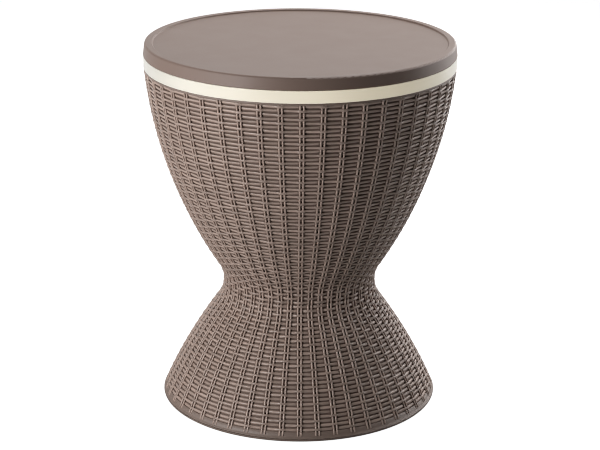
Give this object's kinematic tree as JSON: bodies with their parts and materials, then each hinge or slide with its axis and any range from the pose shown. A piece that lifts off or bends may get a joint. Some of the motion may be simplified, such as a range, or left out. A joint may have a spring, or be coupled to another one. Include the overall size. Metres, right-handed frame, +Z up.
{
  "type": "cooler table with lid",
  "caption": "Waisted patio side table in woven-look plastic whose top lifts on a post to open an insulated bowl for ice and bottles.",
  "frame": {"origin": "on the ground, at the centre of the round foot", "axes": "+Z up along the table's axis; the drain plug is towards +X; the picture looks along +Y"},
  "size_m": [0.4918, 0.4918, 0.586],
  "materials": {
    "woven_plastic": "moulded weave, satin",
    "lid_plastic": "fine moulded grain, satin",
    "cream_plastic": "smooth, semi-gloss",
    "inner_plastic": "smooth, matte",
    "seal_rubber": "matte",
    "post_aluminium": "anodised, satin",
    "steel": "zinc plated"
  },
  "bodies": {
    "housing": {"base_foot": "woven_plastic", "upper_shell": "woven_plastic", "waist_screws": "steel", "cooler_bowl": "cream_plastic", "post_sleeve": "cream_plastic", "sleeve_gasket": "seal_rubber", "sleeve_nut": "inner_plastic", "sleeve_collar": "lid_plastic", "wiper_ring": "seal_rubber", "drain_spout": "cream_plastic", "drain_gasket": "seal_rubber", "drain_nut": "inner_plastic", "drain_pipe": "inner_plastic"},
    "glide": {"glide_shoe": "inner_plastic"},
    "table_top": {"post_tube": "post_aluminium", "post_foot": "inner_plastic", "foot_pin": "steel", "shoe_retainer": "steel", "post_head": "inner_plastic", "head_pin": "steel", "head_screws": "steel", "lid_underpan": "lid_plastic", "lid_screws": "steel", "table_cover": "lid_plastic"},
    "drain_plug": {"drain_plug": "lid_plastic", "plug_seal": "seal_rubber"}
  },
  "joints": [
    {"name": "lid_lift", "type": "slide", "parent": "housing", "child": "glide", "axis": [0, 0, 1], "range_m": [0, 0.255]},
    {"name": "lid_twist_lock", "type": "hinge", "parent": "glide", "child": "table_top", "pos_m": [0, 0, 0.2], "axis": [0, 0, -1], "range_deg": [0, 40]},
    {"name": "plug_pull", "type": "slide", "parent": "housing", "child": "drain_plug", "axis": [0, 0, 1], "range_m": [0, 0.03]}
  ]
}
